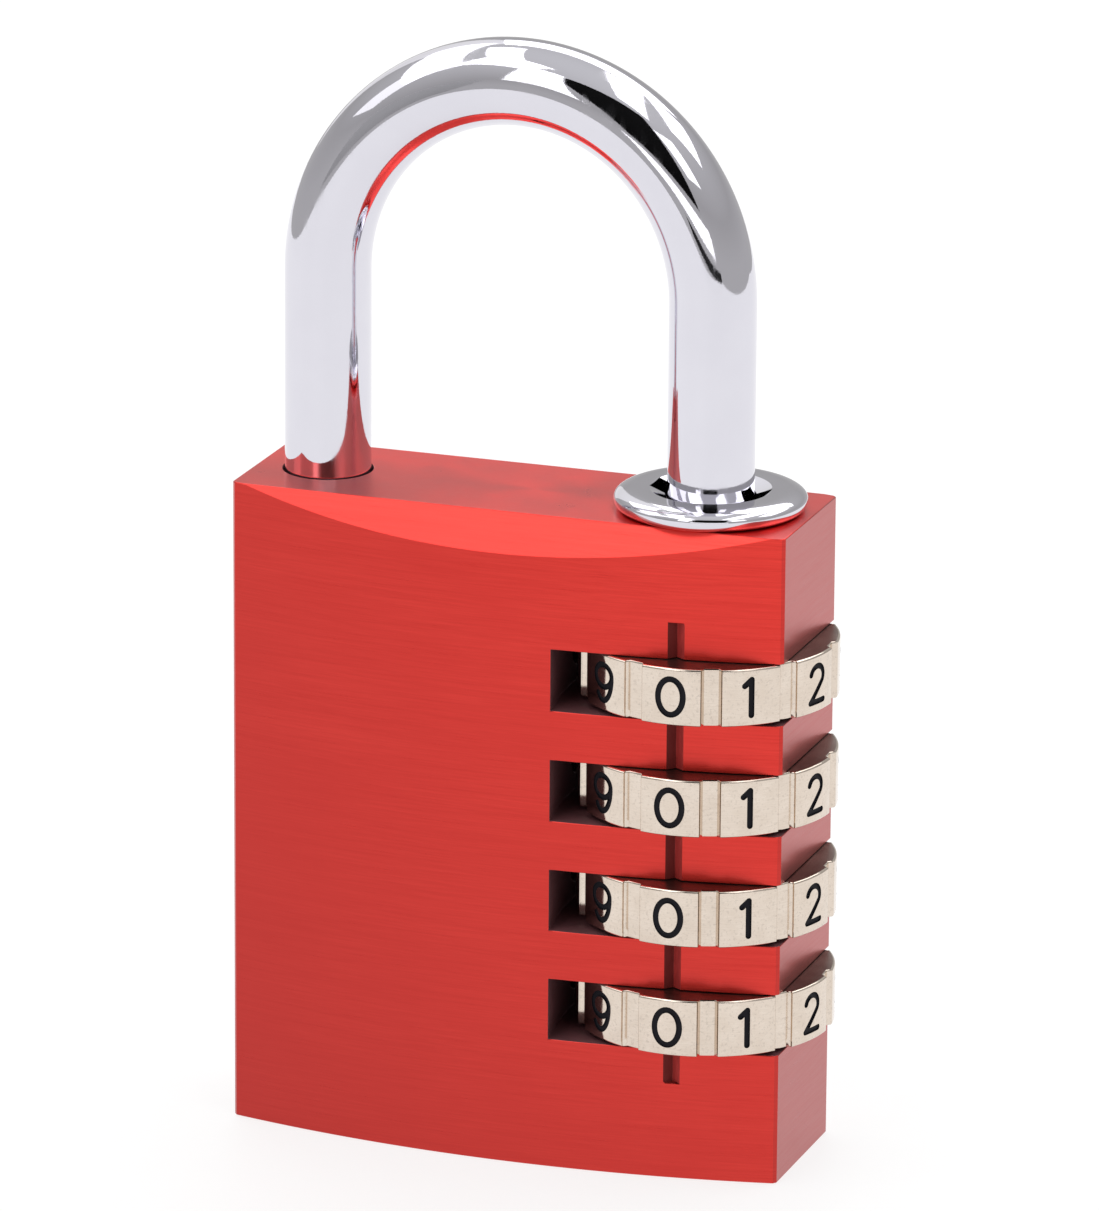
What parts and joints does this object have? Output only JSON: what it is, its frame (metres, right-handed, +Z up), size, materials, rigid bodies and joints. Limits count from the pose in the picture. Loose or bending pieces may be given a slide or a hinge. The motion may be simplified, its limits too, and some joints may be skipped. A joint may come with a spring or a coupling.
{
  "type": "combination padlock",
  "caption": "Combination padlock: a block body with curved faces, numbered dials at one side, and a bow shackle that lifts when the dials stand at the code.",
  "frame": {"origin": "centre of the body's underside", "axes": "+Z up along the shackle's legs, -Y out of the front face with the index line, +X towards the side that the dials stand out of"},
  "size_m": [0.0417, 0.018, 0.0778],
  "materials": {
    "anodised_body": "fine brushed, red anodised",
    "chrome": "polished",
    "nickel_dial": "satin nickel, black numerals",
    "brass_hub": "machined",
    "spring_steel": "drawn wire",
    "bearing_steel": "polished"
  },
  "bodies": {
    "lock_body": {"lock_body": "anodised_body", "shackle_collar": "chrome", "hub_washer": "spring_steel", "hub_spring": "spring_steel", "lift_spring": "spring_steel", "base_plug": "anodised_body", "click_ball_1": "bearing_steel", "click_ball_2": "bearing_steel", "click_ball_3": "bearing_steel", "click_ball_4": "bearing_steel", "click_spring_1": "spring_steel", "click_spring_2": "spring_steel", "click_spring_3": "spring_steel", "click_spring_4": "spring_steel"},
    "shackle": {"shackle": "chrome"},
    "dial_1": {"dial_wheel_1": "nickel_dial", "code_hub_1": "brass_hub"},
    "dial_2": {"dial_wheel_2": "nickel_dial", "code_hub_2": "brass_hub"},
    "dial_3": {"dial_wheel_3": "nickel_dial", "code_hub_3": "brass_hub"},
    "dial_4": {"dial_wheel_4": "nickel_dial", "code_hub_4": "brass_hub"}
  },
  "joints": [
    {"name": "shackle_lift", "type": "slide", "parent": "lock_body", "child": "shackle", "axis": [0, 0, 1], "range_m": [0, 0.00789], "deforming": ["lift_spring"]},
    {"name": "dial_1_turn", "type": "hinge", "parent": "lock_body", "child": "dial_1", "pos_m": [0.0128, 0, 0.03517], "axis": [0, 0, 1], "continuous": true},
    {"name": "dial_2_turn", "type": "hinge", "parent": "lock_body", "child": "dial_2", "pos_m": [0.0128, 0, 0.02728], "axis": [0, 0, 1], "continuous": true},
    {"name": "dial_3_turn", "type": "hinge", "parent": "lock_body", "child": "dial_3", "pos_m": [0.0128, 0, 0.01939], "axis": [0, 0, 1], "continuous": true},
    {"name": "dial_4_turn", "type": "hinge", "parent": "lock_body", "child": "dial_4", "pos_m": [0.0128, 0, 0.0115], "axis": [0, 0, 1], "continuous": true}
  ]
}
